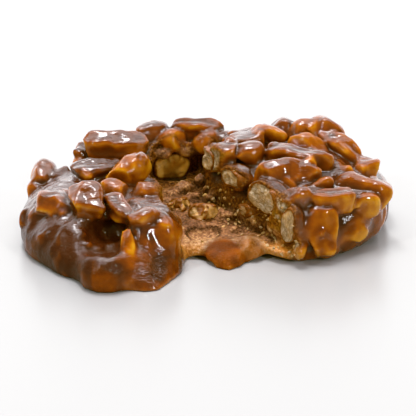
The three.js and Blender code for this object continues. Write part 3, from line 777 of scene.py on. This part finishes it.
def setCaramel(look):
    material = bpy.data.materials.new("set_caramel_over_pecan")
    material.use_nodes = True
    tree = material.node_tree
    tree.nodes.clear()
    depth, bitten, dull, wet, meat, film, amber, edge, wrinkled = [
        addNode(tree, "ShaderNodeAttribute", attribute_name=name).outputs["Fac"]
        for name in ("sugarDepthAndShade", "bitten", "dull", "wet", "nutMeat", "film", "amber", "edge", "wrinkled")]
    place = addNode(tree, "ShaderNodeTexCoord").outputs["Object"]
    mottle = addNode(tree, "ShaderNodeTexNoise", {
        "Vector": place, "Scale": 1 / (look["mottleSize"] * mm), "Detail": 5.0})
    grit = addNode(tree, "ShaderNodeTexNoise", {
        "Vector": place, "Scale": 1 / (look["grit"] * mm), "Detail": 4.0, "Roughness": 0.65})
    spots = addNode(tree, "ShaderNodeMath", {0: mottle, 1: 2 * look["mottle"], 2: -look["mottle"]},
                    operation="MULTIPLY_ADD")
    uneven = addNode(tree, "ShaderNodeMath", {0: depth, 1: spots}, operation="ADD", use_clamp=True)
    coat = addNode(tree, "ShaderNodeValToRGB", {"Fac": uneven}, coatTones)
    grains = addNode(tree, "ShaderNodeMath", {0: grit, 1: look["grains"], 2: -look["grains"] / 2},
                     operation="MULTIPLY_ADD")
    filmTone = addNode(tree, "ShaderNodeMath", {0: amber, 1: grains}, operation="ADD", use_clamp=True)
    filmCoat = addNode(tree, "ShaderNodeValToRGB", {"Fac": filmTone}, filmTones)
    torn = addNode(tree, "ShaderNodeValToRGB", {"Fac": grit}, tornTones)
    tornShare = addNode(tree, "ShaderNodeMath", {0: bitten, 1: look["tornShare"]}, operation="MULTIPLY")
    wall = addNode(tree, "ShaderNodeMix", {0: tornShare, 6: coat, 7: torn}, data_type="RGBA")
    glowing = addNode(tree, "ShaderNodeMix", {0: edge, 6: filmCoat, 7: toLinear("#D07E1C")}, data_type="RGBA")
    bittenColour = addNode(tree, "ShaderNodeMix", {0: film, 6: wall, 7: glowing}, data_type="RGBA")
    bareNut = addNode(tree, "ShaderNodeValToRGB", {"Fac": grit}, fleshTones)
    colour = addNode(tree, "ShaderNodeMix", {0: meat, 6: bittenColour, 7: bareNut}, data_type="RGBA")
    roughness = addNode(tree, "ShaderNodeMath", {0: dull, 1: look["tornRoughness"], 2: look["roughness"]},
                        operation="MULTIPLY_ADD")
    drawn = addNode(tree, "ShaderNodeMapping", {
        "Vector": place, "Scale": (look["wrinkleDraw"], 1, 1),
        "Rotation": (0, 0, math.radians(look["wrinkleTurn"]))})
    wrinkle = addNode(tree, "ShaderNodeTexNoise", {
        "Vector": drawn, "Scale": 1 / (look["wrinkle"] * mm), "Detail": 3.0, "Distortion": 0.8})
    smooth = addNode(tree, "ShaderNodeBump", {
        "Height": wrinkle, "Strength": wrinkled, "Distance": look["wrinkleDepth"] * mm})
    rough = addNode(tree, "ShaderNodeBump", {
        "Height": grit, "Strength": dull, "Distance": look["gritDepth"] * mm, "Normal": smooth})
    gloss = addNode(tree, "ShaderNodeMath", {0: wet, 1: look["coat"]}, operation="MULTIPLY")
    shader = addNode(tree, "ShaderNodeBsdfPrincipled", {
        "Base Color": colour, "Roughness": roughness, "IOR": look["ior"], "Specular IOR Level": look["specular"],
        "Normal": rough, "Coat Weight": gloss, "Coat Roughness": look["coatRoughness"], "Coat IOR": look["ior"],
        "Coat Normal": rough, "Subsurface Weight": look["seeThrough"], "Subsurface Radius": (1.0, 0.4, 0.1),
        "Subsurface Scale": look["scatter"] * mm,
    })
    addNode(tree, "ShaderNodeOutputMaterial", {"Surface": shader})
    return material


caramel = setCaramel(caramelLook)
print("caramel:", caramel.name)
pattyPiece = dressPatty()
pattyPiece.data.materials.append(caramel)


# pecans that the bite broke, and the loose ones on its floor, each on a finer grid
brokenPecans = {
    "cell": 0.24, "margin": 1.6, "uneven": 0.35, "crack": 0.45, "ragged": 1.6, "edge": 0.25,
    "fold": ((-0.2, -0.6, 1), (1, 2, 1.8), 2.4),  # the brown inner fold of a loose one: middle, size, squareness
    "toast": {"pecan_bitten_back": 0.8, "pecan_loose_left": 0.6, "pecan_loose_middle": 0.5}, "toastElsewhere": 0.1,
}


def breakPecan(name, row, seed):
    kind, centre, turn, lean, roll, grow = row
    reach = max(pecanKinds[kind]["size"]) * grow / 2 + brokenPecans["margin"]
    grid = FieldGrid(np.array(centre) - reach, np.array(centre) + reach, brokenPecans["cell"])
    whole = pecanDistance(grid.at, kind, centre, turn, lean, roll, grow, seed, 0)
    whole = whole + brokenPecans["uneven"] * softNoise(grid.at, 2.3, seed + 3)
    crack = softNoise(grid.at, 1.4, seed) + 0.6 * softNoise(grid.at, 0.7, seed + 1)
    loose = name in loosePecans
    if loose:  # two snapped faces across its own axes
        own = turned(grid.at, centre, turn, lean, roll)
        snap = smoothMax(own[2] * 0.8 - own[1] * 0.5 - 0.8, own[0] * 0.8 - own[1] * 0.6 - 1.7, 0.3)
    else:
        snap = breakDistance(grid.at)
    ragged = brokenPecans["ragged" if loose else "crack"]
    field = smoothMax(whole, snap + ragged * crack, brokenPecans["edge"])
    points, quads = grid.skin(grid.keepLargest(field))
    points = fairSkin(points, edgesOf(quads), 1)
    grain = np.stack(turned(list(points.T), centre, turn, lean, roll), axis=1)
    skinDepth = -grid.sample(whole, points)
    if loose:
        middle, size, square = brokenPecans["fold"]
        fold = lumpDistance(list((grain - middle).T), size, square) + 0.4 * softNoise(list(grain.T), 1, seed)
        skinDepth = np.minimum(skinDepth, fold)
    toast = brokenPecans["toast"].get(name, brokenPecans["toastElsewhere"])
    return makePiece(name, points, quads, {
        "skinDepth": skinDepth, "grainPlace": grain, "toast": np.full(len(points), toast)})


# Toasted pecan broken open: dull pale flesh with fine fibres along the nut, and a thin glossy brown skin.
fleshLook = {
    "fibre": 0.35, "stretch": 0.3, "fibreDepth": 0.25, "bump": 0.8, "blotch": 2.0, "patchy": 1.4, "skinFrom": 0.2,
    "skinTo": 0.6, "skinRoughness": 0.2, "roughness": 0.55, "ior": 1.47, "specular": 0.3, "scatter": 0.5,
    "seeThrough": 0.15,
}
skinTones = [(0.3, "#5A2E0E"), (0.6, "#8E4E14")]


def setFlesh(look):
    material = bpy.data.materials.new("toasted_pecan_flesh")
    material.use_nodes = True
    tree = material.node_tree
    tree.nodes.clear()
    skinDepth = addNode(tree, "ShaderNodeAttribute", attribute_name="skinDepth").outputs["Fac"]
    toast = addNode(tree, "ShaderNodeAttribute", attribute_name="toast").outputs["Fac"]
    place = addNode(tree, "ShaderNodeAttribute", attribute_name="grainPlace").outputs["Vector"]
    drawn = addNode(tree, "ShaderNodeMapping", {"Vector": place, "Scale": (look["stretch"], 1, 1)})
    fibre = addNode(tree, "ShaderNodeTexNoise", {  # its place is in millimetres
        "Vector": drawn, "Scale": 1 / look["fibre"], "Detail": 5.0, "Roughness": 0.7})
    blotch = addNode(tree, "ShaderNodeTexNoise", {"Vector": place, "Scale": 1 / look["blotch"], "Detail": 3.0})
    pale = addNode(tree, "ShaderNodeValToRGB", {"Fac": fibre}, fleshTones)
    patches = addNode(tree, "ShaderNodeMath", {0: blotch, 1: -0.5}, operation="ADD")
    golden = addNode(tree, "ShaderNodeMath", {0: patches, 1: look["patchy"], 2: toast},
                     operation="MULTIPLY_ADD", use_clamp=True)
    toasted = addNode(tree, "ShaderNodeMix", {0: golden, 6: pale, 7: toLinear("#F0B050")}, data_type="RGBA")
    skin = addNode(tree, "ShaderNodeValToRGB", {"Fac": fibre}, skinTones)
    inside = addNode(tree, "ShaderNodeMapRange", {
        "Value": skinDepth, "From Min": look["skinFrom"], "From Max": look["skinTo"]})
    colour = addNode(tree, "ShaderNodeMix", {0: inside, 6: skin, 7: toasted}, data_type="RGBA")
    dull = addNode(tree, "ShaderNodeMapRange", {
        "Value": skinDepth, "From Min": look["skinFrom"], "From Max": look["skinTo"],
        "To Min": look["skinRoughness"], "To Max": look["roughness"]})
    bump = addNode(tree, "ShaderNodeBump", {
        "Height": fibre, "Strength": look["bump"], "Distance": look["fibreDepth"] * mm})
    shader = addNode(tree, "ShaderNodeBsdfPrincipled", {
        "Base Color": colour, "Roughness": dull, "IOR": look["ior"], "Specular IOR Level": look["specular"],
        "Normal": bump, "Subsurface Weight": look["seeThrough"], "Subsurface Radius": (1.0, 0.6, 0.3),
        "Subsurface Scale": look["scatter"] * mm,
    })
    addNode(tree, "ShaderNodeOutputMaterial", {"Surface": shader})
    return material


flesh = setFlesh(fleshLook)
print("flesh:", flesh.name)
for n, (name, row) in enumerate({**bittenPecans, **loosePecans}.items()):
    piece = breakPecan(name, row, firstSeeds["broken"] + n)
    piece.data.materials.append(flesh)
    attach(piece, "root")
    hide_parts(name)
print("broken pecans:", len(bittenPecans) + len(loosePecans))


# crumbs of nut on the torn faces: how many stand on a square millimetre, and their radius
crumbs = {"density": 0.22, "smallest": 0.1, "largest": 0.5, "rough": 1.2, "seed": 5, "toast": 0.3}


def crumbTree():
    tree = bpy.data.node_groups.new("crumbs", "GeometryNodeTree")
    sockets = {}
    for name, kind in (("Geometry", "Geometry"), ("Density", "Float"), ("Smallest", "Float"), ("Largest", "Float"),
                       ("Rough", "Float"), ("Seed", "Int"), ("Material", "Material")):
        sockets[name] = tree.interface.new_socket(name, in_out="INPUT", socket_type="NodeSocket" + kind).identifier
    tree.interface.new_socket("Geometry", in_out="OUTPUT", socket_type="NodeSocketGeometry")
    given = addNode(tree, "NodeGroupInput").outputs
    share = addNode(tree, "GeometryNodeInputNamedAttribute", {"Name": "crumbs"}, data_type="FLOAT")
    density = addNode(tree, "ShaderNodeMath", {0: share, 1: given["Density"]}, operation="MULTIPLY")
    spots = addNode(tree, "GeometryNodeDistributePointsOnFaces", {
        "Mesh": given["Geometry"], "Density": density, "Seed": given["Seed"]})
    ball = addNode(tree, "GeometryNodeMeshIcoSphere", {"Radius": 1.0, "Subdivisions": 2})
    crags = addNode(tree, "ShaderNodeTexNoise", {"Scale": 1.3, "Detail": 2.0}).outputs["Color"]
    shift = addNode(tree, "ShaderNodeVectorMath", {0: crags, 1: (0.5, 0.5, 0.5)}, operation="SUBTRACT")
    push = addNode(tree, "ShaderNodeVectorMath", {0: shift, "Scale": given["Rough"]}, operation="SCALE")
    crumb = addNode(tree, "GeometryNodeSetPosition", {"Geometry": ball, "Offset": push})
    spin = addNode(tree, "FunctionNodeRandomValue", {1: (6.28, 6.28, 6.28), "Seed": given["Seed"]},
                   data_type="FLOAT_VECTOR")  # any way round
    size = addNode(tree, "FunctionNodeRandomValue", {
        0: given["Smallest"], 1: given["Largest"], "Seed": given["Seed"]}, data_type="FLOAT_VECTOR")
    stand = addNode(tree, "GeometryNodeInstanceOnPoints", {
        "Points": spots, "Instance": crumb, "Rotation": spin, "Scale": size})
    joined = addNode(tree, "GeometryNodeRealizeInstances", {"Geometry": stand})
    dressed = addNode(tree, "GeometryNodeSetMaterial", {"Geometry": joined, "Material": given["Material"]})
    addNode(tree, "NodeGroupOutput", {"Geometry": dressed})
    return tree, sockets


def scatterCrumbs(settings):
    tree, sockets = crumbTree()
    bed = bpy.data.objects.new("crumb_bed", pattyPiece.data.copy())
    bpy.context.collection.objects.link(bed)
    modifier = bed.modifiers.new("crumbs", "NODES")
    modifier.node_group = tree
    for name, value in (("Density", settings["density"] / mm**2), ("Smallest", settings["smallest"] * mm),
                        ("Largest", settings["largest"] * mm), ("Rough", settings["rough"]),
                        ("Seed", settings["seed"]), ("Material", flesh)):
        modifier[sockets[name]] = value
    graph = bpy.context.evaluated_depsgraph_get()
    mesh = bpy.data.meshes.new_from_object(bed.evaluated_get(graph), depsgraph=graph)
    bed.modifiers.remove(modifier)
    bpy.data.objects.remove(bed)
    count = len(mesh.vertices)
    places = np.empty(count * 3, np.float32)
    mesh.vertices.foreach_get("co", places)
    for key, value in (("skinDepth", 1.0), ("toast", settings["toast"])):  # all flesh, no skin
        mesh.attributes.new(key, "FLOAT", "POINT").data.foreach_set("value", np.full(count, value, np.float32))
    mesh.attributes.new("grainPlace", "FLOAT_VECTOR", "POINT").data.foreach_set("vector", places / mm)
    piece = bpy.data.objects.new("nut_crumbs", mesh)
    bpy.context.collection.objects.link(piece)
    return piece


crumbPiece = scatterCrumbs(crumbs)
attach(crumbPiece, "root")
print("crumbs:", len(crumbPiece.data.polygons), "faces")


# stage: a satin white floor and plain soft light, brightest from behind
stageLook = {"floor": "#ABAAAA", "floorSize": 3.0, "floorRoughness": 0.28, "front": 0.26, "back": 2.15,
             "glowFrom": 0.3, "glowTo": 0.8}
softboxes = {  # place and size in metres, and watts
    "top_softbox": ((0, 0.18, 0.8), (0.95, 0.55), 5.6),
    "top_window": ((-0.08, 0.16, 0.76), (0.1, 0.3), 3.2),
    "right_strip": ((0.32, -0.4, 0.3), (0.014, 0.14), 1.0),
    "left_strip": ((-0.35, -0.3, 0.4), (0.014, 0.14), 1.0),
}


def setStage(look):
    bpy.ops.mesh.primitive_plane_add(size=look["floorSize"], location=(0, 0, 0))
    floor = bpy.context.object
    floor.name = "floor"
    material = bpy.data.materials.new("satin_white_sweep")
    material.use_nodes = True
    shader = material.node_tree.nodes["Principled BSDF"]
    shader.inputs["Base Color"].default_value = toLinear(look["floor"])
    shader.inputs["Roughness"].default_value = look["floorRoughness"]
    floor.data.materials.append(material)
    world = bpy.data.worlds.new("studio")
    bpy.context.scene.world = world
    world.use_nodes = True
    tree = world.node_tree
    tree.nodes.clear()
    way = addNode(tree, "ShaderNodeTexCoord").outputs["Generated"]
    back = addNode(tree, "ShaderNodeSeparateXYZ", {"Vector": way}).outputs["Y"]
    glow = addNode(tree, "ShaderNodeMapRange", {
        "Value": back, "From Min": look["glowFrom"], "From Max": look["glowTo"],
        "To Min": look["front"], "To Max": look["back"]})
    sky = addNode(tree, "ShaderNodeBackground", {"Color": (1, 1, 1, 1), "Strength": glow})
    addNode(tree, "ShaderNodeOutputWorld", {"Surface": sky})


def addSoftbox(name, place, size, power):
    light = bpy.data.lights.new(name, "AREA")
    light.shape = "RECTANGLE"
    light.size, light.size_y = size
    light.energy = power
    lamp = bpy.data.objects.new(name, light)
    lamp.location = place
    lamp.rotation_euler = (-Vector(place)).to_track_quat("-Z", "Y").to_euler()  # towards the patty
    bpy.context.collection.objects.link(lamp)


setStage(stageLook)
for name, (place, size, power) in softboxes.items():
    addSoftbox(name, place, size, power)
print("stage: floor, sky and", len(softboxes), "lights")

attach(pattyPiece, "root")
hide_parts("praline_mass")
